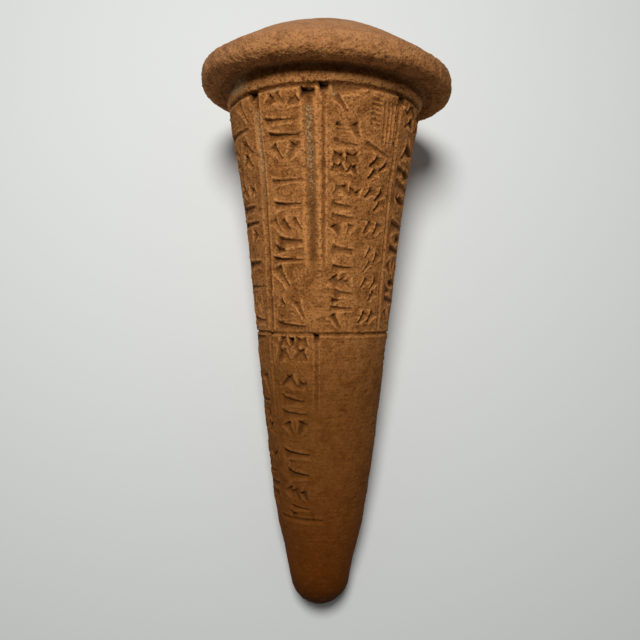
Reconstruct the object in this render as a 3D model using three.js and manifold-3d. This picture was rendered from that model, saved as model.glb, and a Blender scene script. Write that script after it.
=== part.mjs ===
// Foundation cone: a hand-formed nail of fired clay with a domed mushroom head, made in one piece.
// Its shank carries two registers of ruled columns, filled with rows of plain wedge strokes.
// It lies on its side with the head towards +Y, on a worn spot of the rim and one of the lower shank.
// Units are millimetres. Heights are measured up the axis from the tip. Angles go round the axis
// in degrees, from 0 on the upper side, positive towards +X.

import * as THREE from 'three';
import { mergeVertices } from 'three/addons/utils/BufferGeometryUtils.js';
import Module from 'manifold-3d';

const wasm = await Module();
wasm.setup();

const LENGTH = 123.3;
const HEAD_RADIUS = 26.2;
const DOME_POWER = 1.7;
const TIP_RADIUS = 6.4;
const TIP_SLOPE = THREE.MathUtils.degToRad(11.3);
const SIDES = 48;

// The edge of the head stands upright between two heights. Above, it rounds in and up to the dome, and
// below, it rolls in and down to the underside.
const RIM_HEIGHTS = [109.6, 111];
const RIM_ROUNDING = { reach: 1.2, rise: 1.75 };
const RIM_ROLL = { reach: 2.2, drop: 1.7 };

// Radius and height of the shank where its taper changes, from above the tip to the ledge below the head.
const SHANK = [
  [6.28, 5.15], [7.05, 9.3], [9.85, 23.3], [13.4, 53.3],
  [16.6, 83.3], [18.3, 94.3], [19.6, 101.5], [20.1, 105.6],
];

// The ledge, the crease under the head and the underside.
const NECK = [
  [20.1, 105.6], [20.6, 106.3], [20.55, 107.1], [20.15, 107.9], [20.9, 108.4],
  [HEAD_RADIUS - RIM_ROLL.reach, RIM_HEIGHTS[0] - RIM_ROLL.drop],
];

// The head was set on a little askew, and its rim is not quite round but has three very low lobes.
const HEAD_SKEW = 0.03;
const HEAD_SHIFT = 0.25;
const RIM_WOBBLE = 0.005;
const RIM_LOBES = 3;
const LOBE_TURN = 1;
const SKEW_HEIGHTS = [106, 108];

// How far the worn spots that it lies on are cut into the rim and the lower shank, and how often the range
// of its tilt is halved.
const REST_DEPTH = 0.3;
const TILT_HALVINGS = 40;

// The rules that go round the shank.
const TOP_RULE = 104.9;
const MIDDLE_RULE = 58.8;
const CLOSING_RULE = 20.6;
const CLOSING_ANGLES = [-60, 3];

// The rules that go along the shank, as the angle at their upper and at their lower end.
const UPPER_RULES = [
  [-90, -92], [-41, -46], [-9.5, -6], [-1, 0.5], [47, 51], [90, 92], [136, 135], [180, 181], [225, 223],
];
const LOWER_RULES = [[-134, -134], [-92, -91], [-48, -48], [-5, -5]];
const LOWER_RULE_SHARE = 0.6;

// The upper columns by the number of the rule on their left: the bare one, the one with two lanes of
// strokes, and the first that lies underneath and is plainer. The rules numbered here are wide.
const BARE_COLUMN = 2;
const DOUBLE_COLUMN = 3;
const FIRST_PLAIN_COLUMN = 5;
const WIDE_RULES = [1, 2];

const UPPER_ROWS = 6;
const DOUBLE_ROWS = 8;
const LOWER_ROWS = 5;
const HATCH_ROWS = 2;
const COLUMN_MARGIN = 3;
const CELL_FILL = 0.85;

// How many groups on the next column and the next row start in the list of stroke groups.
const GROUP_STEPS = { column: 3, row: 5 };

// Half width and depth of each kind of groove, and the corners of its section.
const STROKE = { width: 0.85, depth: 0.5 };
const TICK = { width: 0.65, depth: 0.75 };
const RULE = { width: 0.35, depth: 0.4 };
const WIDE_RULE = { width: 0.8, depth: 0.5 };
const GOUGE = { width: 1.1, depth: 1.1 };
const GROOVE_CORNERS = 4;
const RULE_STEPS = 2;

// How high a groove's cutter stands above the clay, how far the steps of a rule overlap, and the smallest
// detail that is kept.
const HEADROOM = 4;
const OVERLAP = 0.2;
const SMALLEST_DETAIL = 0.02;

// Gouges at the top and the middle rule, as angle, height of the upper end and length downwards.
const GOUGES = [
  [-44, 104.9, 2.6], [-9.5, 104.2, 3.2], [-0.5, 104.9, 1.8], [49, 104.9, 2.8],
  [-48, 58.7, 1.4], [-26, 57.9, 1.6], [-5, 58.6, 1.8],
];

// Lost flakes, as angle, height and radius of a round cutter, and the share of it that is above the clay.
const FLAKES = [[84, 55.2, 2.3], [-66, 24, 1.5]];
const FLAKE_LIFT = 0.6;
const FLAKE_SIDES = [8, 6];

const toRadians = THREE.MathUtils.degToRad;
const mix = THREE.MathUtils.lerp;

// How many straight steps each stretch of the outline is drawn with.
const STEPS = { tip: 4, shank: SHANK.length - 1, neck: NECK.length - 1, roll: 3, rim: 2, dome: 5 };

// The outline of one half of the cone, from the tip to the crown.
function makeProfile() {
  const vectors = (pairs) => pairs.map(([radius, height]) => new THREE.Vector2(radius, height));
  const tip = new THREE.EllipseCurve(0, TIP_RADIUS, TIP_RADIUS, TIP_RADIUS, -Math.PI / 2, -TIP_SLOPE);
  const shank = new THREE.SplineCurve(vectors(SHANK));
  const neck = new THREE.SplineCurve(vectors(NECK));
  const [low, high] = RIM_HEIGHTS;
  const inner = HEAD_RADIUS - RIM_ROLL.reach;
  const roll = new THREE.EllipseCurve(inner, low, RIM_ROLL.reach, RIM_ROLL.drop, -Math.PI / 2, 0);
  const edge = HEAD_RADIUS - RIM_ROUNDING.reach;
  const rim = new THREE.EllipseCurve(edge, high, RIM_ROUNDING.reach, RIM_ROUNDING.rise, 0, Math.PI / 2);
  const rise = LENGTH - high - RIM_ROUNDING.rise;
  const dome = [];
  for (let step = 1; step <= STEPS.dome; step++) {
    const share = 1 - step / STEPS.dome;
    dome.push(new THREE.Vector2(edge * share, LENGTH - rise * share ** DOME_POWER));
  }
  return [
    ...tip.getPoints(STEPS.tip),
    ...shank.getPoints(STEPS.shank).slice(1),
    ...neck.getPoints(STEPS.neck).slice(1),
    ...roll.getPoints(STEPS.roll).slice(1),
    ...rim.getPoints(STEPS.rim),
    ...dome,
  ];
}

const profile = makeProfile();

function radiusAt(height) {
  const upper = profile.findIndex((point) => point.y >= height);
  const [a, b] = [profile[upper - 1], profile[upper]];
  return mix(a.x, b.x, (height - a.y) / (b.y - a.y));
}

function onShank(angle, height) {
  const radius = radiusAt(height);
  const turn = toRadians(angle);
  return new THREE.Vector3(radius * Math.sin(turn), height, radius * Math.cos(turn));
}

// Solids for cutting: a closed geometry with shared vertices and no flat triangles.
function toSolid(geometry) {
  geometry.deleteAttribute('normal');
  geometry.deleteAttribute('uv');
  const merged = mergeVertices(geometry);
  const triangles = [];
  for (let i = 0; i < merged.index.count; i += 3) {
    const corners = [0, 1, 2].map((k) => merged.index.getX(i + k));
    if (new Set(corners).size === 3) {
      triangles.push(...corners);
    }
  }
  const vertProperties = new Float32Array(merged.attributes.position.array);
  const triVerts = new Uint32Array(triangles);
  return new wasm.Manifold(new wasm.Mesh({ numProp: 3, vertProperties, triVerts }));
}

function toGeometry(solid) {
  const mesh = solid.getMesh();
  const geometry = new THREE.BufferGeometry();
  geometry.setAttribute('position', new THREE.BufferAttribute(new Float32Array(mesh.vertProperties), 3));
  geometry.setIndex(new THREE.BufferAttribute(new Uint32Array(mesh.triVerts), 1));
  geometry.computeVertexNormals();
  return geometry;
}

// The turned form, with the head set askew.
function makeBlank() {
  const blank = new THREE.LatheGeometry(profile, SIDES);
  const place = blank.attributes.position;
  for (let i = 0; i < place.count; i++) {
    const [x, y, z] = [place.getX(i), place.getY(i), place.getZ(i)];
    const share = THREE.MathUtils.smoothstep(y, ...SKEW_HEIGHTS);
    const wobble = 1 + share * RIM_WOBBLE * Math.cos(RIM_LOBES * Math.atan2(x, z) + LOBE_TURN);
    place.setXYZ(i, x * wobble + share * HEAD_SHIFT, y - share * HEAD_SKEW * x, z * wobble);
  }
  return blank;
}

// A groove between two points of the surface. Its section is a kite that sinks one corner into the clay
// and stands high above it, because a straight groove across the shank dips below the round surface.
// The tail is the size of its far end: 0 leaves a wedge, 1 an even rule.
function makeGroove(from, to, { width, depth }, tail) {
  const along = to.clone().sub(from);
  const length = along.length() + (tail > 0 ? OVERLAP : 0);
  const middle = from.clone().add(to).multiplyScalar(0.5);
  along.normalize();
  const outward = new THREE.Vector3(middle.x, 0, middle.z).normalize();
  const side = along.clone().cross(outward).normalize();
  const depthward = side.clone().cross(along).normalize();
  const groove = new THREE.CylinderGeometry(tail, 1, length, GROOVE_CORNERS);
  const corner = groove.attributes.position;
  for (let i = 0; i < corner.count; i++) {
    corner.setX(i, corner.getX(i) * width);
    corner.setZ(i, corner.getZ(i) * (corner.getZ(i) > 0 ? HEADROOM : depth));
  }
  groove.applyMatrix4(new THREE.Matrix4().makeBasis(side, along, depthward).setPosition(middle));
  return toSolid(groove);
}

function makeRule(points, size) {
  return points.slice(1).map((point, i) => makeGroove(points[i], point, size, 1));
}

function makeRing(height, { width, depth }) {
  const ring = new THREE.TorusGeometry(radiusAt(height), depth, GROOVE_CORNERS, SIDES);
  return toSolid(ring.rotateX(Math.PI / 2).scale(1, width / depth, 1).translate(0, height, 0));
}

// Stroke groups in a cell from -1 to 1: each stroke runs from its wide head to its thin tail.
const across = (y, from = -0.9, to = 0.9) => [from, y, to, y];
const slant = (x, y, run, rise) => [x, y, x + run, y + rise];

const peak = (x, y, half, drop) => [[x, y, x - half, y - drop], [x, y, x + half, y - drop]];

const GROUPS = [
  [slant(0.4, 0.75, 0.45, -1.1), across(-0.8)],
  [across(0.75), slant(-0.65, 0.3, 0.45, -0.8), slant(0.6, 0.3, -0.4, -0.8)],
  [across(0.8), slant(-0.8, 0.35, 0.75, -1.2)],
  [...peak(-0.3, 0.8, 0.5, 0.65), ...peak(0.65, 0.5, 0.25, 0.4), across(-0.7, -0.9, 0.7)],
  [slant(-0.85, 0.8, 0.35, -0.65), slant(-0.25, 0.8, 0.35, -0.65), slant(0.35, 0.8, 0.35, -0.65),
    across(-0.45, -0.6, 0.9)],
  [...peak(-0.5, 0.8, 0.36, 0.55), ...peak(0.5, 0.8, 0.36, 0.55),
    ...peak(-0.5, 0.05, 0.36, 0.55), ...peak(0.5, 0.05, 0.36, 0.55)],
  [across(0.65), across(-0.7, -0.8, 0.9)],
];
const TICK_GROUPS = [
  [slant(-0.2, 0.8, -0.6, -0.7), slant(0.75, 0.7, -0.6, -0.7), slant(0.7, -0.2, -0.6, -0.7)],
  [slant(0.1, 0.8, -0.6, -0.7), slant(0.9, 0.5, -0.6, -0.7), slant(0, -0.2, -0.6, -0.7)],
  [slant(-0.1, 0.5, -0.6, -0.8), slant(0.8, 0.5, -0.6, -0.8)],
];
const PLAIN_GROUP = [across(0)];

// The strokes of one lane of cells between two leaning rules. The second lane of a column has short ticks
// below its first rows, which hold only a hatch of hair lines.
function makeLane(rules, [top, bottom], rows, lane, lanes, seed, plain) {
  const [groups, size] = lane === 0 ? [plain ? [PLAIN_GROUP] : GROUPS, STROKE] : [TICK_GROUPS, TICK];
  const strokes = [];
  const pitch = (top - bottom) / rows;
  for (let row = lane === 0 ? 0 : HATCH_ROWS; row < rows; row++) {
    const middle = top - (row + 0.5) * pitch;
    const fall = (row + 0.5) / rows;
    const left = mix(...rules[0], fall) + COLUMN_MARGIN;
    const right = mix(...rules[1], fall) - COLUMN_MARGIN;
    const centre = mix(left, right, (lane + 0.5) / lanes);
    const reach = (CELL_FILL * (right - left)) / (2 * lanes);
    const group = groups[(GROUP_STEPS.column * seed + GROUP_STEPS.row * row) % groups.length];
    for (const [x0, y0, x1, y1] of group) {
      const cell = (x, y) => onShank(centre + x * reach, middle + (CELL_FILL * y * pitch) / 2);
      strokes.push(makeGroove(cell(x0, y0), cell(x1, y1), size, 0));
    }
  }
  return strokes;
}

function makeUpperRegister() {
  const register = [TOP_RULE, MIDDLE_RULE];
  const cuts = [];
  UPPER_RULES.forEach((rule, column) => {
    const points = [];
    for (let step = 0; step <= RULE_STEPS; step++) {
      const fall = step / RULE_STEPS;
      points.push(onShank(mix(...rule, fall), mix(...register, fall)));
    }
    cuts.push(...makeRule(points, WIDE_RULES.includes(column) ? WIDE_RULE : RULE));
    if (column === BARE_COLUMN) {
      return;
    }
    const next = UPPER_RULES[column + 1] ?? UPPER_RULES[0].map((angle) => angle + 360);
    const lanes = column === DOUBLE_COLUMN ? 2 : 1;
    const plain = column >= FIRST_PLAIN_COLUMN;
    const rows = lanes === 2 ? DOUBLE_ROWS : UPPER_ROWS;
    for (let lane = 0; lane < lanes; lane++) {
      cuts.push(...makeLane([rule, next], register, rows, lane, lanes, column + lane, plain));
    }
  });
  return cuts;
}

function makeLowerRegister() {
  const register = [MIDDLE_RULE, CLOSING_RULE];
  const cuts = [];
  LOWER_RULES.forEach((rule, column) => {
    const ends = [onShank(rule[0], register[0]), onShank(rule[1], mix(...register, LOWER_RULE_SHARE))];
    cuts.push(...makeRule(ends, RULE));
    const next = LOWER_RULES[column + 1];
    if (next) {
      cuts.push(...makeLane([rule, next], register, LOWER_ROWS, 0, 1, column + 2, column === 0));
    }
  });
  return cuts;
}

function makeRingRules() {
  const closing = [];
  for (let step = 0; step <= RULE_STEPS; step++) {
    closing.push(onShank(mix(...CLOSING_ANGLES, step / RULE_STEPS), CLOSING_RULE));
  }
  return [makeRing(TOP_RULE, RULE), makeRing(MIDDLE_RULE, RULE), ...makeRule(closing, RULE)];
}

function makeDamage() {
  const gouges = GOUGES.map(([angle, height, length]) =>
    makeGroove(onShank(angle, height), onShank(angle, height - length), GOUGE, 0));
  const flakes = FLAKES.map(([angle, height, radius]) => {
    const centre = onShank(angle, height);
    const outward = new THREE.Vector3(centre.x, 0, centre.z).normalize();
    centre.addScaledVector(outward, FLAKE_LIFT * radius);
    return toSolid(new THREE.SphereGeometry(radius, ...FLAKE_SIDES).translate(centre.x, centre.y, centre.z));
  });
  return [...gouges, ...flakes];
}

// The tilt at which the head and the lower shank are equally low, found by halving the range.
function findTilt(blank) {
  const place = blank.attributes.position;
  const lowest = (tilt, wanted) => {
    let low = Infinity;
    for (let i = 0; i < place.count; i++) {
      if (wanted(place.getY(i))) {
        low = Math.min(low, place.getY(i) * Math.sin(tilt) + place.getZ(i) * Math.cos(tilt));
      }
    }
    return low;
  };
  let [flat, steep] = [0, Math.PI / 4];
  for (let i = 0; i < TILT_HALVINGS; i++) {
    const tilt = (flat + steep) / 2;
    const headLow = lowest(tilt, (height) => height > LENGTH / 2);
    const tipLow = lowest(tilt, (height) => height < LENGTH / 2);
    [flat, steep] = headLow < tipLow ? [tilt, steep] : [flat, tilt];
  }
  return { tilt: flat, floor: lowest(flat, () => true) + REST_DEPTH };
}

function makeCone() {
  const blank = makeBlank();
  const { tilt, floor } = findTilt(blank);
  const cuts = [...makeRingRules(), ...makeUpperRegister(), ...makeLowerRegister(), ...makeDamage()];
  const carving = cuts.reduce((whole, cut) => whole.add(cut));
  const laid = toGeometry(toSolid(blank).subtract(carving)).rotateX(tilt);
  const below = new THREE.BoxGeometry(4 * LENGTH, 4 * LENGTH, LENGTH).translate(0, 0, floor - LENGTH / 2);
  const cone = toGeometry(toSolid(laid).subtract(toSolid(below)).simplify(SMALLEST_DETAIL));
  cone.computeBoundingBox();
  const { min, max } = cone.boundingBox;
  return cone.translate(-(min.x + max.x) / 2, -(min.y + max.y) / 2, -min.z);
}

const firedClay = new THREE.MeshStandardMaterial({ color: 0xa8744a, roughness: 0.92, metalness: 0 });
const cone = new THREE.Mesh(makeCone(), firedClay);
cone.name = 'clay_cone';

const foundationCone = new THREE.Group();
foundationCone.add(cone);

export default foundationCone;
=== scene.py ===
# %% [markdown]
# A foundation cone
#
# This lesson dresses one object: a nail of fired clay about 12 cm long, with a domed head like a mushroom.
# It was rolled from one lump, its shank was ruled into columns, and rows of wedge strokes were pressed into
# the wet clay before it was fired. It lies loose on its side, so the camera looks down on it.
# The solid model already has the true size and the main strokes. Here one dense mesh takes its place, in
# the same spot, and carries the worn surface that the solid leaves out.

# %% Load the solid model as a fixed frame
import math

import bmesh
import bpy
import numpy as np
from mathutils import Matrix, Vector, noise


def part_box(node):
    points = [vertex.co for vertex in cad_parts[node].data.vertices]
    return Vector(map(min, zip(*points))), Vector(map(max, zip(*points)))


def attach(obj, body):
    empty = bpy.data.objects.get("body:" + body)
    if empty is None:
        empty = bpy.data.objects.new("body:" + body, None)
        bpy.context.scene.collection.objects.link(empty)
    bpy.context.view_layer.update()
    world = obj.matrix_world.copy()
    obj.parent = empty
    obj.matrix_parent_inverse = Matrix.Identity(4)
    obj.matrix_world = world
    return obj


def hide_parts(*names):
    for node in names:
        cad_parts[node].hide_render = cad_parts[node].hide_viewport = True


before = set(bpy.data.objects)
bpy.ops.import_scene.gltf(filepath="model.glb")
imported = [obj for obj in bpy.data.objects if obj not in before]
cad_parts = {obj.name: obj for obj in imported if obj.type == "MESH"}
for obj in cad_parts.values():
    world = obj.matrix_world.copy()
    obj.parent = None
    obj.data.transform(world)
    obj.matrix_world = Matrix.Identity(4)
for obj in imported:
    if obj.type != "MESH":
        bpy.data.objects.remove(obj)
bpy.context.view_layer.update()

# %% [markdown]
# The outline of the clay
#
# A cone like this is nearly a turned shape, so half of its outline is enough to make all of it. The numbers
# are the real sizes in millimetres, measured up the axis from the tip. The round stretches are arcs, the
# shank and the crease under the head are smooth lines through a few stations, and the crown follows a power
# curve, which is flatter than a ball and steeper than a cone.

# %% Sizes of the turned form
MM = 0.001
LENGTH = 123.3
HEAD_RADIUS = 26.2
RIM_HEIGHTS = (109.6, 111)
RIM_ROUNDING = (1.2, 1.75)
RIM_ROLL = (2.2, 1.7)
DOME_POWER = 1.7
TIP_RADIUS = 6.4
TIP_SLOPE = math.radians(11.3)
SHANK = [
    (6.28, 5.15), (7.05, 9.3), (9.85, 23.3), (13.4, 53.3),
    (16.6, 83.3), (18.3, 94.3), (19.6, 101.5), (20.1, 105.6),
]
NECK = [
    (20.1, 105.6), (20.6, 106.3), (20.55, 107.1), (20.15, 107.9), (20.9, 108.4),
    (HEAD_RADIUS - RIM_ROLL[0], RIM_HEIGHTS[0] - RIM_ROLL[1]),
]
print("cone", LENGTH, "mm long, head", 2 * HEAD_RADIUS, "mm wide")

# %% Draw the outline
ARC_STEPS = 60
LINE_STEPS = 40
SHANK_SPACING = 0.8
RIM_SPACING = 0.4
DOME_SPACING = 1.2


def arc(centre, radii, start, stop):
    turn = np.linspace(start, stop, ARC_STEPS)
    return np.stack([centre[0] + radii[0] * np.cos(turn), centre[1] + radii[1] * np.sin(turn)], 1)


def smooth_line(stations):
    """A line through the stations whose direction at each one follows its two neighbours."""
    stations = np.array(stations, float)
    padded = np.concatenate([stations[:1], stations, stations[-1:]])
    t = np.linspace(0, 1, LINE_STEPS)[:, None]
    spans = []
    for before, start, end, after in zip(padded, padded[1:], padded[2:], padded[3:]):
        leave, arrive = (end - before) / 2, (after - start) / 2
        swing = 3 * end - 3 * start - 2 * leave - arrive
        bend = 2 * start - 2 * end + leave + arrive
        spans.append(start + leave * t + swing * t**2 + bend * t**3)
    return np.concatenate(spans)


def even_steps(line, spacing):
    """The same line with points at an even spacing in millimetres."""
    lengths = np.concatenate([[0], np.cumsum(np.linalg.norm(np.diff(line, axis=0), axis=1))])
    wanted = np.linspace(0, lengths[-1], int(lengths[-1] / spacing) + 1)
    return np.stack([np.interp(wanted, lengths, line[:, k]) for k in (0, 1)], 1)


tip = arc((0, TIP_RADIUS), (TIP_RADIUS, TIP_RADIUS), -math.pi / 2, -TIP_SLOPE)
roll = arc((HEAD_RADIUS - RIM_ROLL[0], RIM_HEIGHTS[0]), RIM_ROLL, -math.pi / 2, 0)
dome_radius = HEAD_RADIUS - RIM_ROUNDING[0]
rim = arc((dome_radius, RIM_HEIGHTS[1]), RIM_ROUNDING, 0, math.pi / 2)
dome_share = np.linspace(1, 0, ARC_STEPS)
dome_rise = LENGTH - RIM_HEIGHTS[1] - RIM_ROUNDING[1]
dome = np.stack([dome_radius * dome_share, LENGTH - dome_rise * dome_share**DOME_POWER], 1)
shank_line = even_steps(np.concatenate([tip, smooth_line(SHANK)]), SHANK_SPACING)
rim_line = even_steps(np.concatenate([smooth_line(NECK), roll, rim]), RIM_SPACING)
dome_line = even_steps(dome, DOME_SPACING)
outline = np.concatenate([shank_line, rim_line[1:], dome_line[1:]])
outline[[0, -1], 0] = 0
print("outline points", len(outline))

# %% [markdown]
# From the outline to a body
#
# A potter would turn or roll the form. Blender's spin operator could drag the outline round the axis too,
# but it numbers the edges in another order on each run, and a later step picks vertices by their number.
# So a flat grid is wrapped round the axis: its columns go once round and its rows follow the outline. The
# seam and the points that fall together on the axis are welded, and then the faces are turned outwards. A
# Subdivision Surface modifier splits each face into sixteen, as the strokes need a fine and even grid.

# %% Wrap the body
TURN_STEPS = 128
FINE_LEVELS = 2
WELD_DISTANCE = 0.01


def wrap_body(profile):
    bm = bmesh.new()
    rows = len(profile) - 1
    bmesh.ops.create_grid(bm, x_segments=TURN_STEPS, y_segments=rows, size=0.5)
    for vert in bm.verts:
        turn = 2 * math.pi * (vert.co.x + 0.5)
        reach, height = profile[round(rows * (vert.co.y + 0.5))]
        vert.co = (reach * math.sin(turn), height, reach * math.cos(turn))
    bmesh.ops.remove_doubles(bm, verts=bm.verts, dist=WELD_DISTANCE)
    bmesh.ops.recalc_face_normals(bm, faces=bm.faces)
    mesh = bpy.data.meshes.new("clay_cone_body")
    bm.to_mesh(mesh)
    bm.free()
    return mesh


def bake_modifiers(piece):
    """Store what the modifiers make as the piece's own mesh."""
    bpy.context.view_layer.update()
    depsgraph = bpy.context.evaluated_depsgraph_get()
    piece.data = bpy.data.meshes.new_from_object(piece.evaluated_get(depsgraph))
    piece.modifiers.clear()


cone = bpy.data.objects.new("clay_cone_surface", wrap_body(outline))
bpy.context.scene.collection.objects.link(cone)
fine = cone.modifiers.new("fine grid", "SUBSURF")
fine.levels = FINE_LEVELS
fine.render_levels = FINE_LEVELS
bake_modifiers(cone)
print("vertices", len(cone.data.vertices))

# %% Read the grid
flat = np.empty(len(cone.data.vertices) * 3, np.float32)
cone.data.vertices.foreach_get("co", flat)
points = flat.reshape(-1, 3).astype(float)
angle = np.degrees(np.arctan2(points[:, 0], points[:, 2]))
up = points[:, 1].copy()
radius = np.hypot(points[:, 0], points[:, 2])
print("grid from", up.min().round(2), "to", up.max().round(2), "mm up the axis")

# %% [markdown]
# A hand set the head on
#
# The head leans a little to one side, and its edge is not quite round but has three very low lobes. The
# same small moves are in the solid.

# %% Skew the head
HEAD_SKEW = 0.03
HEAD_SHIFT = 0.25
RIM_WOBBLE = 0.005
RIM_LOBES = 3
LOBE_TURN = 1
SKEW_HEIGHTS = (106, 108)


def smooth_step(values, low, high):
    share = np.clip((values - low) / (high - low), 0, 1)
    return share * share * (3 - 2 * share)


head_share = smooth_step(up, *SKEW_HEIGHTS)
wobble = 1 + head_share * RIM_WOBBLE * np.cos(RIM_LOBES * np.radians(angle) + LOBE_TURN)
points[:, 1] -= head_share * HEAD_SKEW * points[:, 0]
points[:, [0, 2]] *= wobble[:, None]
points[:, 0] += head_share * HEAD_SHIFT
cone.data.vertices.foreach_set("co", points.astype(np.float32).ravel())
cone.data.update()
print("rim lifted by up to", round(HEAD_SKEW * HEAD_RADIUS, 2), "mm")

# %% [markdown]
# Pressing the surface
#
# Every mark on the clay is a small move of the surface. One array holds how far each vertex is pressed in,
# and another how far the clay beside a mark was pushed up. Each mark only touches the vertices near it.
# Marks are laid out by the angle round the shank, from 0 on the upper side and positive to the right, and by
# the height from the tip. A bump in the material would be quicker, but it would vanish from the mesh, and
# the strokes are real hollows that hold shadow and dirt.

# %% Helpers for marks
RANDOM_SEED = 7
press = np.zeros(len(points))
lip = np.zeros(len(points))
rng = np.random.default_rng(RANDOM_SEED)


def clay_noise(size, octaves, shift):
    """Smooth noise from about -1 to 1, with lumps of the given size in millimetres."""
    scaled = points / size + shift
    return np.array([noise.fractal(p, 1.0, 2.0, octaves) for p in scaled.tolist()])


def turned(from_angle, chosen=slice(None)):
    """Degrees from an angle to the chosen vertices, the short way round."""
    return (angle[chosen] - from_angle + 180) % 360 - 180


def radius_at(height):
    return np.interp(height, shank_line[:, 1], shank_line[:, 0])


def soft_band(values, centre, spread):
    """1 at the centre, falling off smoothly on both sides."""
    return np.exp(-(((values - centre) / spread) ** 2))


edge_noise = clay_noise(size=0.9, octaves=2, shift=0.5)
lump_noise = clay_noise(size=9, octaves=2, shift=3.3)
grit_noise = clay_noise(size=1.2, octaves=3, shift=8.1)
rim_noise = clay_noise(size=0.7, octaves=2, shift=5.5)
print("noise for", len(points), "vertices")

# %% [markdown]
# Rules
#
# The wet clay was ruled first: a line under the ledge, one round the middle, and lines along the shank
# between the columns. Two of the long ones were drawn wide and soft, and hold pale dirt today.

# %% Places and sizes of the rules
TOP_RULE = 104.9
MIDDLE_RULE = 58.8
CLOSING_RULE = 20.6
CLOSING_ANGLES = (-60, 3)
UPPER_RULES = [
    (-90, -92), (-41, -46), (-9.5, -6), (-1, 0.5), (47, 51), (90, 92), (136, 135), (180, 181), (225, 223),
]
LOWER_RULES = [(-134, -134), (-92, -91), (-48, -48), (-5, -5)]
LOWER_RULE_SHARE = 0.6
LOWER_DEPTH_SHARE = 0.7
LOWER_FADE = (0.5, 1)
FADING_RULES = (2, 3)
FADE_SPAN = (0.6, 0.85)
FADED_SHARE = 0.85
# Each size is half the width and the depth in millimetres.
RULE = (0.38, 0.45)
WIDE_RULES = {1: (0.6, 0.4), 2: (0.95, 0.6)}
TOP_GROOVE = (0.5, 0.6)
CLOSING_GROOVE = (0.45, 0.4)
CLOSING_FADE = 3
print("rules along the shank", len(UPPER_RULES) + len(LOWER_RULES))

# %% Press the rules
RULE_RAGGED = 0.14
RULE_ROUNDING = 0.8
RULE_LIP = 0.07
# Where a lip is highest and how far it spreads, in half widths of its mark.
RULE_LIP_PLACE = (1.5, 0.5)
RULE_STARTS = (-0.005, 0.005)
RULE_ENDS = (0.985, 1.0)


def press_line(offset, width, depth, strength=1.0):
    """Sink a line whose sideways distance is given for every vertex."""
    away = np.abs(offset + RULE_RAGGED * edge_noise) / width
    np.minimum(press, -depth * strength * np.clip(1 - away, 0, 1) ** RULE_ROUNDING, out=press)
    np.maximum(lip, RULE_LIP * strength * soft_band(away, *RULE_LIP_PLACE), out=lip)


def follow_rule(rule, top, bottom):
    """Sideways distance from a leaning rule, how far down it each vertex is, and where the rule runs."""
    fall = (top - up) / (top - bottom)
    runs = smooth_step(fall, *RULE_STARTS) * (1 - smooth_step(fall, *RULE_ENDS))
    lean = rule[0] + (rule[1] - rule[0]) * np.clip(fall, 0, 1)
    return np.radians(turned(lean)) * radius, fall, runs


def press_rules():
    press_line(up - TOP_RULE, *TOP_GROOVE)
    press_line(up - MIDDLE_RULE, *RULE)
    closing_middle = sum(CLOSING_ANGLES) / 2
    closing_half = (CLOSING_ANGLES[1] - CLOSING_ANGLES[0]) / 2
    from_middle = np.abs(turned(closing_middle))
    ends = 1 - smooth_step(from_middle, closing_half - CLOSING_FADE, closing_half)
    press_line(up - CLOSING_RULE, *CLOSING_GROOVE, ends)
    for number, rule in enumerate(UPPER_RULES):
        offset, fall, runs = follow_rule(rule, TOP_RULE, MIDDLE_RULE)
        if number in FADING_RULES:
            runs = runs * (1 - FADED_SHARE * smooth_step(fall, *FADE_SPAN))
        press_line(offset, *WIDE_RULES.get(number, RULE), runs)
    low_end = MIDDLE_RULE + (CLOSING_RULE - MIDDLE_RULE) * LOWER_RULE_SHARE
    for rule in LOWER_RULES:
        offset, fall, runs = follow_rule(rule, MIDDLE_RULE, low_end)
        runs = runs * (1 - smooth_step(fall, *LOWER_FADE))
        press_line(offset, RULE[0], LOWER_DEPTH_SHARE * RULE[1], runs)


press_rules()
print("deepest rule", round(press.min(), 2), "mm")

# %% [markdown]
# Strokes
#
# A reed with a square end leaves a wedge: a wide head that runs out in a thin tail, with one steep side and
# one that slopes. The strokes here fill the columns in rows, in made-up groups that stand for no writing.
# Each group is three short lists in a cell from -1 to 1: the main strokes, which are in the solid too, then
# ticks, then hair lines. A little unevenness in place, size and depth keeps them handmade.

# %% Groups of strokes
BAR = (1.0, 0.65)
TICK = (0.7, 0.9)
HAIR = (0.3, 0.25)


def across(y, start=-0.9, end=0.9):
    return (start, y, end, y)


def slant(x, y, run, rise):
    return (x, y, x + run, y + rise)


def peak(x, y, half, drop):
    return [slant(x, y, -half, -drop), slant(x, y, half, -drop)]


def comb(xs, start, end):
    return [(x, start, x, end) for x in xs]


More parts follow.
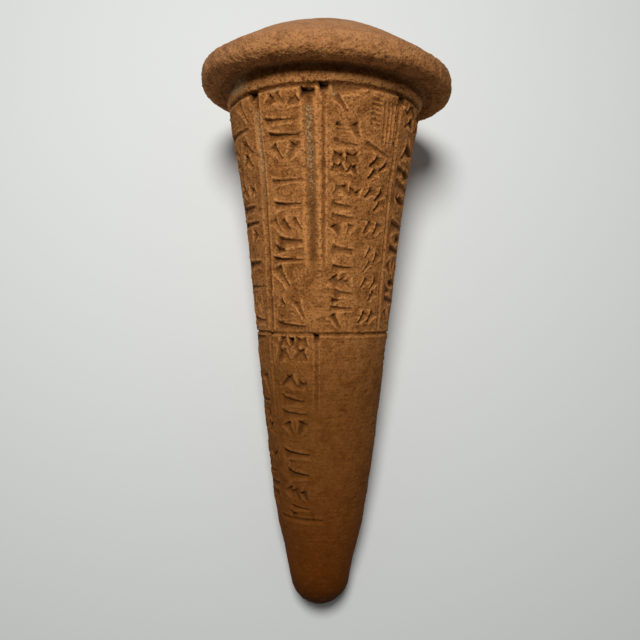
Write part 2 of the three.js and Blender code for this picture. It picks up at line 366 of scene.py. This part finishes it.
GROUPS = [
    ([slant(0.4, 0.75, 0.45, -1.1), across(-0.8)],
     [slant(-0.7, 0.8, 0.25, -0.25)],
     [across(y, -0.7, 0.3) for y in (0.3, 0.05, -0.2, -0.45)]),
    ([across(0.75), slant(-0.65, 0.3, 0.45, -0.8), slant(0.6, 0.3, -0.4, -0.8)],
     [],
     [across(-0.85, -0.6, 0.6)]),
    ([across(0.8), slant(-0.8, 0.35, 0.75, -1.2)],
     [],
     [slant(0.1 + 0.3 * k, 0.35, 0.1 - 0.1 * k, -0.9) for k in range(3)]),
    ([*peak(-0.3, 0.8, 0.5, 0.65), *peak(0.65, 0.5, 0.25, 0.4), across(-0.7, -0.9, 0.7)],
     [],
     [across(-0.25, -0.6, 0.5)]),
    ([*(slant(x, 0.8, 0.35, -0.65) for x in (-0.85, -0.25, 0.35)), across(-0.45, -0.6, 0.9)],
     [across(-0.9, -0.8, -0.2)],
     []),
    ([stroke for y in (0.8, 0.05) for x in (-0.5, 0.5) for stroke in peak(x, y, 0.36, 0.55)],
     [],
     []),
    ([across(0.65), across(-0.7, -0.8, 0.9)],
     [],
     comb((-0.45, -0.15, 0.15, 0.45), 0.25, -0.3)),
]
TICK_GROUPS = [
    ([slant(x, y, -0.6, -0.7) for x, y in ((-0.2, 0.8), (0.75, 0.7), (0.7, -0.2))], [], []),
    ([slant(x, y, -0.6, -0.7) for x, y in ((0.1, 0.8), (0.9, 0.5), (0, -0.2))], [], []),
    ([slant(x, 0.5, -0.6, -0.8) for x in (-0.1, 0.8)], [], [across(0.8), across(-0.7)]),
]
PLAIN_GROUP = ([across(0)], [], [across(0.6, -0.7, 0.4)])
print("stroke groups", len(GROUPS) + len(TICK_GROUPS))

# %% Press one stroke
STROKE_RAGGED = 0.05
STROKE_STARTS = (-0.03, 0.04)
STROKE_ENDS = (0.9, 1.03)
FULL_WIDTH = 0.9
HEAD_FLARE = 0.4
FLARE_REACH = 0.3
TAIL_RISE = 0.4
BROW_HEIGHT = 0.18
BROW_PLACE = (1.3, 0.35)


def press_stroke(start, end, size, tail=0.5, steep=0.4):
    """Sink a wedge from its head to its tail, each an angle and a height.

    Tail is how wide its thin end is, as a share of its size. Steep is the width of its upper wall, or of
    the left one on an upright stroke, as a share of half the wedge: 1 gives two equal walls.
    """
    width, depth = size
    middle = (start[1] + end[1]) / 2
    around = radius_at(middle)
    run = math.radians(end[0] - start[0]) * around
    rise = end[1] - start[1]
    length = math.hypot(run, rise)
    window = length / 2 + 2 * width + 1
    near = np.nonzero(np.abs(up - middle) < window)[0]
    sideways = np.radians(turned(start[0], near)) * around
    inside = np.abs(sideways - run / 2) < window
    near, sideways = near[inside], sideways[inside]
    above = up[near] - start[1]
    along = (sideways * run + above * rise) / length**2
    steep_side = 1 if run + rise / 2 > 0 else -1
    offset = steep_side * (above * run - sideways * rise) / length + STROKE_RAGGED * edge_noise[near]
    flare = HEAD_FLARE * np.clip(1 - along / FLARE_REACH, 0, 1)
    half = width * (np.clip(FULL_WIDTH - (1 - tail) * along, tail, FULL_WIDTH) + flare)
    section = np.minimum((half - offset) / (steep * half), (offset + half) / ((2 - steep) * half))
    ends = smooth_step(along, *STROKE_STARTS) * (1 - smooth_step(along, *STROKE_ENDS))
    sink = depth * (1 - TAIL_RISE * np.clip(along, 0, 1)) * ends
    press[near] = np.minimum(press[near], -sink * np.clip(section, 0, 1))
    brow = soft_band(np.abs(offset) / half, *BROW_PLACE) * ends
    lip[near] = np.maximum(lip[near], BROW_HEIGHT * depth * brow)


print("a bar is", 2 * BAR[0], "mm wide and", BAR[1], "mm deep")

# %% Fill one column
HATCH_ROWS = 2
COLUMN_MARGIN = 3
CELL_FILL = 0.85
GROUP_STEPS = {"column": 3, "row": 5}
PLACE_SPREAD = 0.05
WIDTH_RANGE = (0.6, 1.4)
DEPTH_RANGE = (0.75, 1.3)
STEEP_RANGE = (0.3, 0.55)


def fill_lane(rules, top, bottom, rows, lane, lanes, column, groups):
    """Press rows of groups between two rules, in one of the lanes that share the column."""
    pitch = (top - bottom) / rows
    first, main_size = (HATCH_ROWS, TICK) if groups is TICK_GROUPS else (0, BAR)
    for row in range(first, rows):
        fall = (row + 0.5) / rows
        left = rules[0][0] + (rules[0][1] - rules[0][0]) * fall + COLUMN_MARGIN
        right = rules[1][0] + (rules[1][1] - rules[1][0]) * fall - COLUMN_MARGIN
        centre = np.array([left + (right - left) * (lane + 0.5) / lanes, top - (row + 0.5) * pitch])
        cell = np.array([CELL_FILL * (right - left) / (2 * lanes), CELL_FILL * pitch / 2])
        group = groups[(GROUP_STEPS["column"] * column + GROUP_STEPS["row"] * row) % len(groups)]
        for size, strokes in zip((main_size, TICK, HAIR), group):
            for stroke in strokes:
                head, tail = np.reshape(stroke, (2, 2)) + rng.normal(0, PLACE_SPREAD, (2, 2))
                force = np.array(size) * (rng.uniform(*WIDTH_RANGE), rng.uniform(*DEPTH_RANGE))
                steep = 1 if size is TICK else rng.uniform(*STEEP_RANGE)
                press_stroke(centre + head * cell, centre + tail * cell, force, steep=steep)


print("a cell fills", CELL_FILL, "of its row")

# %% Fill all columns
UPPER_ROWS = 6
DOUBLE_ROWS = 8
LOWER_ROWS = 5
BARE_COLUMN = 2
DOUBLE_COLUMN = 3
FIRST_PLAIN_COLUMN = 5
LOWER_COLUMN_START = 2


def fill_registers():
    for column, rule in enumerate(UPPER_RULES):
        if column == BARE_COLUMN:
            continue
        last = column + 1 == len(UPPER_RULES)
        following = tuple(a + 360 for a in UPPER_RULES[0]) if last else UPPER_RULES[column + 1]
        lanes = [GROUPS, TICK_GROUPS] if column == DOUBLE_COLUMN else [GROUPS]
        if column >= FIRST_PLAIN_COLUMN:
            lanes = [[PLAIN_GROUP]]
        rows = DOUBLE_ROWS if len(lanes) == 2 else UPPER_ROWS
        for lane, groups in enumerate(lanes):
            pair = (rule, following)
            fill_lane(pair, TOP_RULE, MIDDLE_RULE, rows, lane, len(lanes), column + lane, groups)
    for column, pair in enumerate(zip(LOWER_RULES, LOWER_RULES[1:])):
        groups = [PLAIN_GROUP] if column == 0 else GROUPS
        place = column + LOWER_COLUMN_START
        fill_lane(pair, MIDDLE_RULE, CLOSING_RULE, LOWER_ROWS, 0, 1, place, groups)


fill_registers()
print("deepest stroke", round(press.min(), 2), "mm")

# %% [markdown]
# Damage and odd marks
#
# Deep gouges sit where the rules meet at the top and the middle, and each gets a pit across its head with a
# steep upper wall, so that it stays black. Broad cuts notch the column on the right, and clay has flaked off
# below it and low on the left. A hatch of fine lines with a bar under it fills one corner. The blank part of
# the shank is scratched where it was wiped, and the whole surface is pitted where grit fell out. Flakes have
# an array of their own, because a break shows clean clay, while what was pressed in is painted dark, partly
# as dirt and partly as shade.

# %% Gouges and broad cuts
GOUGES = [
    (-44, 104.9, 2.6), (-9.5, 104.2, 3.2), (-0.5, 104.9, 1.8), (49, 104.9, 2.8),
    (-48, 58.7, 1.4), (-26, 57.9, 1.6), (-5, 58.6, 1.8),
]
GOUGE = (0.7, 1.0)
GOUGE_PIT = (1.1, 1.9)
GOUGE_PIT_SPREAD = 1.3
GOUGE_PIT_DROP = 0.9
GOUGE_PIT_RISE = 0.1
EDGE_CUT = (1.2, 1.1)
EDGE_CUT_RUN = (11, -0.6)
EDGE_CUTS = [(64, 95.4), (66, 91), (63, 85.8), (67, 78.3), (64, 69.2)]

for gouge_angle, gouge_top, gouge_length in GOUGES:
    gouge_head = np.array([gouge_angle, gouge_top])
    press_stroke(gouge_head, gouge_head - (0, gouge_length), GOUGE, tail=0.1, steep=1)
    pit_reach = GOUGE_PIT_SPREAD * gouge_length
    pit_left = gouge_head - (pit_reach, GOUGE_PIT_DROP)
    pit_right = pit_left + (2 * pit_reach, GOUGE_PIT_RISE)
    press_stroke(pit_left, pit_right, GOUGE_PIT, tail=0.8, steep=0.15)
for cut_place in EDGE_CUTS:
    press_stroke(cut_place, np.add(cut_place, EDGE_CUT_RUN), EDGE_CUT)
print("gouges", len(GOUGES), "cuts", len(EDGE_CUTS))

# %% Flakes
FLAKES = [(84, 55.2, 2.6, 0.9), (81, 52.5, 2.8, 0.6), (-66, 24, 1.6, 0.6)]
SCOOP_RAGGED = 0.25
flaked = np.zeros(len(points))


def on_shank(place_angle, height):
    turn = math.radians(place_angle)
    return radius_at(height) * np.array([math.sin(turn), 0, math.cos(turn)]) + (0, height, 0)


def scoop(marks, centre, size, depth):
    """Sink a round hollow of the given radius around a point, in the given array of marks."""
    near = np.nonzero(np.abs(points[:, 1] - centre[1]) < size)[0]
    away = np.linalg.norm(points[near] - centre, axis=1) / size + SCOOP_RAGGED * edge_noise[near]
    marks[near] = np.minimum(marks[near], -depth * np.clip(1 - away**2, 0, 1))


for flake_angle, flake_height, flake_size, flake_depth in FLAKES:
    scoop(flaked, on_shank(flake_angle, flake_height), flake_size, flake_depth)
print("flakes", len(FLAKES))

# %% Hatch
HATCH = (0.42, 0.48)
HATCH_TOP, HATCH_FOOT = 103, 94.5
HATCH_ANGLES = (36, 39, 42, 45)
HATCH_LEAN = 0.8
HATCH_HEIGHTS = (103, 102.1, 101.2, 100.3, 99.4, 98.5)
HATCH_SIDES = (27, 34)
HATCH_FALL = 0.3
HATCH_BAR = (0.7, 0.5)
HATCH_BAR_ENDS = ((25, 94.6), (46, 92.8))

hatch_lines = [((a, HATCH_TOP), (a + HATCH_LEAN, HATCH_FOOT)) for a in HATCH_ANGLES]
hatch_lines += [((HATCH_SIDES[0], h), (HATCH_SIDES[1], h - HATCH_FALL)) for h in HATCH_HEIGHTS]
for line_start, line_end in hatch_lines:
    press_stroke(line_start, line_end, HATCH, tail=0.8, steep=1)
press_stroke(*HATCH_BAR_ENDS, HATCH_BAR)
print("hatch lines", len(hatch_lines))

# %% Scratches and pits
SCRATCH_COUNT = 70
SCRATCH_ANGLES = (2, 70)
SCRATCH_HEIGHTS = (12, 57)
SCRATCH_TURNS = (8, 28)
SCRATCH_WANDER = 0.5
SCRATCH_WIDTH = 0.28
SCRATCH_DEPTHS = (0.05, 0.16)
PIT_COUNT = 420
PIT_SIZES = (0.25, 0.55)
PIT_DEPTHS = (0.15, 0.5)
SMALLER_ON_HEAD = 0.3

for scratch in range(SCRATCH_COUNT):
    scratch_at = np.array([rng.uniform(*SCRATCH_ANGLES), rng.uniform(*SCRATCH_HEIGHTS)])
    scratch_run = np.array([rng.uniform(*SCRATCH_TURNS), rng.normal(0, SCRATCH_WANDER)])
    scratch_size = (SCRATCH_WIDTH, rng.uniform(*SCRATCH_DEPTHS))
    press_stroke(scratch_at, scratch_at + scratch_run, scratch_size, tail=0.6, steep=1)
for pit in rng.choice(len(points), PIT_COUNT, replace=False):
    pit_size = rng.uniform(*PIT_SIZES) * (1 - SMALLER_ON_HEAD * head_share[pit])
    scoop(press, points[pit].copy(), pit_size, rng.uniform(*PIT_DEPTHS) * pit_size)
print("deepest mark", round(press.min(), 2), "mm")

# %% Move the surface
LUMP_HEIGHT = 0.18
GRIT_HEIGHT = 0.05
RIM_GRIT_HEIGHT = 0.17
RIM_GRIT_FADE = (RIM_HEIGHTS[1] + 1, RIM_HEIGHTS[1] + 5)
UNPRESSED = -0.02

rim_share = head_share * (1 - smooth_step(up, *RIM_GRIT_FADE))
lift = np.minimum(press, flaked) + lip * (press > UNPRESSED) + LUMP_HEIGHT * lump_noise
lift += GRIT_HEIGHT * grit_noise + RIM_GRIT_HEIGHT * rim_share * rim_noise
cone.data.vertex_normals.foreach_get("vector", flat)
points += flat.reshape(-1, 3) * lift[:, None]
print("surface moved between", round(lift.min(), 2), "and", round(lift.max(), 2), "mm")

# %% [markdown]
# Lying down
#
# The cone rests on the edge of its head and on its lower shank, so its axis leans up towards the head. The
# turned form is tilted by that angle, moved into the solid's box, and whatever would sink into the floor is
# pressed flat, as the worn spots on the solid are.

# %% Lay the cone in the frame
TILT = math.radians(10.6825)
TIP_PLACE = np.array([-0.3602, -60.6981, 5.0603])
tilt_matrix = np.array(Matrix.Rotation(TILT, 3, "X"))
points = points @ tilt_matrix.T + TIP_PLACE
low, high = (np.array(corner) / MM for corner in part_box("clay_cone"))
points = np.clip(points, low, high)
cone.data.vertices.foreach_set("co", (points * MM).astype(np.float32).ravel())
cone.data.update()
print("lies between", points.min(0).round(2), "and", points.max(0).round(2), "mm")

# %% [markdown]
# Masks for the finish
#
# Dirt and painted shade darken the hollows, and painted shade darkens the crease under the head, where the
# head shades its neck. Pale salts lie in the two wide rules, at the top of two columns and on one side of
# the neck. The brows between strokes are rubbed paler and also painted as lit, and the ledge is painted
# paler as painted light where the head's shadow leaves it.
# Three values are stored on the vertices, and the material reads them as attributes. They could be painted
# by hand, but the same arrays that moved the surface already know where each mark is.

# %% Salts
SALT_STARTS = (0.04, 0.08)
SALT_ENDS = (0.25, 0.85)
SALT_EDGE, SALT_WIDTH = 1.6, 0.9
SALT_FREE = -0.65
CORNER_DUST_HEIGHT = (TOP_RULE - 1.5, 2)
CORNER_DUST_ANGLE, CORNER_DUST_REACH = 4, 8
NECK_DUST_STRENGTH = 1.4
NECK_DUST_HEIGHT = (107, 1.8)
NECK_DUST_RADIUS = (20.5, 2)
NECK_DUST_ANGLE, NECK_DUST_SPREAD = -58, 17
RULE_DUST_HEIGHT = (TOP_RULE - 0.4, 0.7)
RULE_DUST_ANGLE, RULE_DUST_SPREAD = -28, 14

rule_salts = np.zeros(len(points))
for number in WIDE_RULES:
    offset, fall, runs = follow_rule(UPPER_RULES[number], TOP_RULE, MIDDLE_RULE)
    reach = smooth_step(fall, *SALT_STARTS) * (1 - smooth_step(fall, *SALT_ENDS))
    strip = np.clip(SALT_EDGE - np.abs(offset) / SALT_WIDTH, 0, 1)
    rule_salts = np.maximum(rule_salts, runs * reach * strip)
corner_dust = np.clip(1 - np.abs(turned(CORNER_DUST_ANGLE)) / CORNER_DUST_REACH, 0, 1)
corner_dust *= soft_band(up, *CORNER_DUST_HEIGHT)
neck_dust = NECK_DUST_STRENGTH * soft_band(turned(NECK_DUST_ANGLE), 0, NECK_DUST_SPREAD)
neck_dust *= soft_band(up, *NECK_DUST_HEIGHT) * soft_band(radius, *NECK_DUST_RADIUS)
rule_dust = soft_band(turned(RULE_DUST_ANGLE), 0, RULE_DUST_SPREAD) * soft_band(up, *RULE_DUST_HEIGHT)
salts = np.maximum.reduce([rule_salts, corner_dust, neck_dust, rule_dust]) * (press > SALT_FREE)
print("strongest salts", round(salts.max(), 2))

# %% Store the masks
CREASE_HEIGHT = (108.1, 0.4)
CREASE_RADIUS = 22.5
CREASE_SHADE = 0.4
LEDGE_HEIGHT = (105.9, 0.7)

# Painted shade: the crease under the head is darkened where the head shades its neck.
crease = soft_band(up, *CREASE_HEIGHT) * (radius < CREASE_RADIUS)
ledge = soft_band(up, *LEDGE_HEIGHT)
masks = {
    # Hollow darkens the strokes as dirt and painted shade, and the crease as painted shade.
    "hollow": np.clip(np.maximum(-press, CREASE_SHADE * crease), 0, 1),
    "salts": salts,
    # Painted light: the ledge is painted paler where it is lit, and the brows are painted as lit as well as
    # worn.
    "wear_and_painted_light": np.clip(lip / RULE_LIP + ledge, 0, 1) * (press > UNPRESSED),
}
for name, values in masks.items():
    layer = cone.data.attributes.new(name, "FLOAT", "POINT")
    layer.data.foreach_set("value", values.astype(np.float32))
print("masks", list(masks))

# %% [markdown]
# Fewer triangles
#
# The even grid spends as many faces on the bare tip as on the strokes. The Decimate modifier keeps them
# where the surface bends, and the result is stored as a plain mesh.

# %% Thin the mesh
TRIANGLE_BUDGET = 190_000
triangles = sum(len(face.vertices) - 2 for face in cone.data.polygons)
thin = cone.modifiers.new("thin", "DECIMATE")
thin.ratio = TRIANGLE_BUDGET / triangles
thin.use_collapse_triangulate = True
bake_modifiers(cone)
cone.data.polygons.foreach_set("use_smooth", [True] * len(cone.data.polygons))
print("triangles", triangles, "thinned to", len(cone.data.polygons))

# %% [markdown]
# Fired clay
#
# The real material is low-fired terracotta: a matt, slightly gritty brown. It is painted darker and redder
# towards the tip as shade where the light falls off, and paler on the head, partly worn and partly as
# painted light. Up close it is full of dark and pale grains. One helper adds a node, sets its
# values and makes its links, so that the recipe below reads from top to bottom: patterns first, then the
# colour as a pile of thin layers, each with a mask, and last the grain that catches the light.


# %% Colour and node helpers
def linear(hex_colour):
    """An sRGB hex colour as linear RGBA."""
    channels = [int(hex_colour[i:i + 2], 16) / 255 for i in (1, 3, 5)]
    return [c / 12.92 if c <= 0.04045 else ((c + 0.055) / 1.055) ** 2.4 for c in channels] + [1.0]


def add_node(tree, kind, inputs=(), **settings):
    """One node. Settings are its own properties, inputs are values or links by socket name or number."""
    node = tree.nodes.new(kind)
    for key, value in settings.items():
        setattr(node, key, value)
    for key, value in dict(inputs).items():
        if isinstance(value, bpy.types.NodeSocket):
            tree.links.new(value, node.inputs[key])
        else:
            node.inputs[key].default_value = value
    return node


def per_metre(size_mm):
    """The scale of a pattern whose marks are this many millimetres apart."""
    return 1 / (size_mm * MM)


CLAY_COLOUR = linear("#a66d3a")
print("clay colour", [round(c, 3) for c in CLAY_COLOUR])

# %% Patterns in the clay
# Each pattern has the size of its marks in millimetres, and how many finer sizes are mixed in.
# Real grit is about 0.1 mm. It is drawn four times as coarse so that it shows.
PATTERN_SIZES = {"cloud": (14, 2), "mottle": (2.4, 3), "grain": (0.9, 2), "grit": (0.4, 1)}
PATTERN_ROUGHNESS = 0.6


def clay_patterns(tree, place):
    """What the layers take as their masks, by name. Along is in metres up the axis."""
    patterns = {"along": add_node(tree, "ShaderNodeSeparateXYZ", {0: place}).outputs["Y"]}
    for name, (size, detail) in PATTERN_SIZES.items():
        values = {"Vector": place, "Scale": per_metre(size), "Detail": detail}
        values["Roughness"] = PATTERN_ROUGHNESS
        patterns[name] = add_node(tree, "ShaderNodeTexNoise", values).outputs[0]
    for name in masks:
        patterns[name] = add_node(tree, "ShaderNodeAttribute", attribute_name=name).outputs["Fac"]
    crust = {0: patterns["salts"], 1: patterns["grit"]}
    patterns["crust"] = add_node(tree, "ShaderNodeMath", crust, operation="MULTIPLY").outputs[0]
    return patterns


print("patterns", list(PATTERN_SIZES))

# %% Colour layers
# Each layer has its mask, where the mask starts and is full, its strength and its colour.
LAYERS = [
    ("cloud", 0.35, 0.65, 1.0, "#9a6230"),  # uneven firing
    # Partly painted light: the head is paler, partly worn and partly painted as the lit crown.
    ("along", 0.048, 0.06, 0.7, "#b38562"),  # worn head
    ("mottle", 0.5, 0.72, 0.55, "#74431a"),
    ("mottle", 0.48, 0.3, 0.4, "#b97f49"),
    # Painted light on the brows and the ledge, with wear on the brows.
    ("wear_and_painted_light", 0.2, 1.0, 0.6, "#d89456"),  # brows and ledge
    ("grain", 0.52, 0.7, 0.55, "#5f3615"),
    ("grit", 0.42, 0.28, 0.35, "#c8945f"),
    ("grit", 0.57, 0.67, 0.65, "#482810"),
    # Painted shade: the lower shank and the tip are darkened where the light falls off towards the tip.
    ("along", 0.004, -0.012, 0.75, "#6c3e13"),  # darker lower shank
    ("along", -0.02, -0.05, 0.8, "#632e00"),
    ("along", -0.05, -0.0585, 0.85, "#2c1000"),  # darkest at the tip
    ("mottle", 0.5, 0.7, 0.3, "#4a2608"),
    ("grain", 0.45, 0.3, 0.1, "#a8713c"),
    # Partly painted light: the crown is made paler again, as wear and as the lit crown.
    ("along", 0.05, 0.056, 0.5, "#b08059"),  # evens out the crown
    # Dirt and painted shade: the strokes are darkened by their depth, partly as dirt and partly as shade,
    # and the deepest pits and gouges are painted black as shade.
    ("hollow", 0.1, 0.45, 0.6, "#46290f"),  # dirt in the strokes
    ("hollow", 0.6, 1.0, 0.85, "#1d1006"),  # black pits
    ("salts", 1.0, 1.3, 0.4, "#a48d6b"),
    ("crust", 0.42, 0.62, 0.6, "#c2a273"),
]


def clay_colour(tree, patterns):
    colour = CLAY_COLOUR
    for pattern, start, full, strength, tint in LAYERS:
        fade = {"Value": patterns[pattern], "From Min": start, "From Max": full, "To Max": strength}
        share = add_node(tree, "ShaderNodeMapRange", fade).outputs[0]
        # Sockets 6 and 7 of a Mix node are its two colours.
        blend = {0: share, 6: colour, 7: linear(tint)}
        colour = add_node(tree, "ShaderNodeMix", blend, data_type="RGBA").outputs[2]
    return colour


print("colour layers", len(LAYERS))

# %% Grain that catches the light
# Wiping left fine streaks across the shank, so that pattern is stretched to five times its length.
WIPING_SIZE = 0.6
WIPING_STRETCH = (0.2, 1, 0.2)
WIPING_SHARE = 1.3
ROUGHENING_SPAN = (-0.02, 0.05)
ROUGHNESS_SHARES = (0.8, 2.6)
GRAIN_HEIGHT = 0.14
GRAIN_STRENGTH = 0.7


def clay_grain(tree, place, patterns):
    """A normal from grains, which are rougher towards the head, and from wiping streaks."""
    stretch = {"Vector": place, "Scale": WIPING_STRETCH}
    streaks = add_node(tree, "ShaderNodeMapping", stretch).outputs[0]
    wiping = {"Vector": streaks, "Scale": per_metre(WIPING_SIZE), "Detail": 2}
    wiped = add_node(tree, "ShaderNodeTexNoise", wiping).outputs[0]
    faint = add_node(tree, "ShaderNodeMapRange", {"Value": wiped, "To Max": WIPING_SHARE}).outputs[0]
    grains = {0: patterns["grit"], 1: patterns["grain"]}
    grains = add_node(tree, "ShaderNodeMath", grains, operation="ADD").outputs[0]
    rougher = {"Value": patterns["along"]}
    rougher |= dict(zip(("From Min", "From Max"), ROUGHENING_SPAN))
    rougher |= dict(zip(("To Min", "To Max"), ROUGHNESS_SHARES))
    upper = add_node(tree, "ShaderNodeMapRange", rougher).outputs[0]
    height = {0: grains, 1: upper, 2: faint}
    height = add_node(tree, "ShaderNodeMath", height, operation="MULTIPLY_ADD").outputs[0]
    bump = {"Strength": GRAIN_STRENGTH, "Distance": GRAIN_HEIGHT * MM, "Height": height}
    return add_node(tree, "ShaderNodeBump", bump).outputs[0]


print("grain up to", GRAIN_HEIGHT, "mm high")


# %% Fired clay material
def fired_clay():
    material = bpy.data.materials.new("low_fired_terracotta")
    material.use_nodes = True
    tree = material.node_tree
    tree.nodes.clear()
    lying = add_node(tree, "ShaderNodeTexCoord").outputs["Object"]
    upright = {"Vector": lying, "Rotation": (-TILT, 0, 0)}
    place = add_node(tree, "ShaderNodeMapping", upright).outputs[0]
    patterns = clay_patterns(tree, place)
    finish = {
        "Base Color": clay_colour(tree, patterns),
        "Roughness": 0.92,
        "IOR": 1.5,
        "Specular IOR Level": 0.07,
        "Normal": clay_grain(tree, place, patterns),
    }
    shader = add_node(tree, "ShaderNodeBsdfPrincipled", finish)
    add_node(tree, "ShaderNodeOutputMaterial", {"Surface": shader.outputs[0]})
    return material


cone.data.materials.clear()
cone.data.materials.append(fired_clay())
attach(cone, "root")
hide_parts("clay_cone")
print("dressed", cone.name)

# %% [markdown]
# Floor, light and camera
#
# The cone lies on a pale floor. One soft lamp hangs high above the head and a little to the left, so every
# stroke has a dark upper wall and a lit lower one, the head shades its own neck, and the light falls off
# towards the tip. A faint even sky fills the shadows. The camera is close, as a hand-held one would be,
# which makes the head look larger than it is.

# %% Floor
FLOOR_SIZE = 1.5


def pale_floor():
    bm = bmesh.new()
    bmesh.ops.create_grid(bm, x_segments=1, y_segments=1, size=FLOOR_SIZE)
    mesh = bpy.data.meshes.new("pale_floor")
    bm.to_mesh(mesh)
    bm.free()
    material = bpy.data.materials.new("pale_matt_cloth")
    material.use_nodes = True
    shader = material.node_tree.nodes["Principled BSDF"]
    shader.inputs["Base Color"].default_value = linear("#e6e8e5")
    shader.inputs["Roughness"].default_value = 0.95
    shader.inputs["Specular IOR Level"].default_value = 0.1
    mesh.materials.append(material)
    floor = bpy.data.objects.new("pale_floor", mesh)
    bpy.context.scene.collection.objects.link(floor)
    return floor


print("floor", pale_floor().name)

# %% Light
LAMP_PLACE = (-22, 101, 330)
LAMP_AIM = (-22, 40, 0)
LAMP_SIZE = 110
LAMP_WATTS = 0.57
LAMP_SPREAD = math.radians(140)
SKY_STRENGTH = 0.12


def turn_towards(place, aim):
    return (Vector(aim) - Vector(place)).to_track_quat("-Z", "Y")


lamp_data = bpy.data.lights.new("head_side_lamp", "AREA")
lamp_data.shape = "DISK"
lamp_data.size = LAMP_SIZE * MM
lamp_data.energy = LAMP_WATTS
lamp_data.spread = LAMP_SPREAD
lamp = bpy.data.objects.new("head_side_lamp", lamp_data)
lamp.location = Vector(LAMP_PLACE) * MM
lamp.rotation_euler = turn_towards(LAMP_PLACE, LAMP_AIM).to_euler()
bpy.context.scene.collection.objects.link(lamp)
world = bpy.data.worlds.new("studio")
world.use_nodes = True
sky = world.node_tree.nodes["Background"]
sky.inputs["Color"].default_value = linear("#f2f3f5")
sky.inputs["Strength"].default_value = SKY_STRENGTH
bpy.context.scene.world = world
bpy.context.scene.view_settings.view_transform = "Standard"
print("lamp", lamp.name, "of", LAMP_WATTS, "W")

# %% Camera
CAMERA_PLACE = (-0.9, -22.7, 152.5)
CAMERA_AIM = (-0.9, 2.1, 0)
CAMERA_ROLL = math.radians(0.54)
CAMERA_LENS = 36
CAMERA_SENSOR = 36
CAMERA_NEAREST = 0.01

camera_data = bpy.data.cameras.new("camera")
camera_data.lens = CAMERA_LENS
camera_data.sensor_width = CAMERA_SENSOR
camera_data.clip_start = CAMERA_NEAREST
camera = bpy.data.objects.new("camera", camera_data)
camera.location = Vector(CAMERA_PLACE) * MM
view = turn_towards(CAMERA_PLACE, CAMERA_AIM).to_matrix()
camera.rotation_euler = (view @ Matrix.Rotation(CAMERA_ROLL, 3, "Z")).to_euler()
bpy.context.scene.collection.objects.link(camera)
bpy.context.scene.camera = camera
print("camera at", [round(c, 4) for c in camera.location])
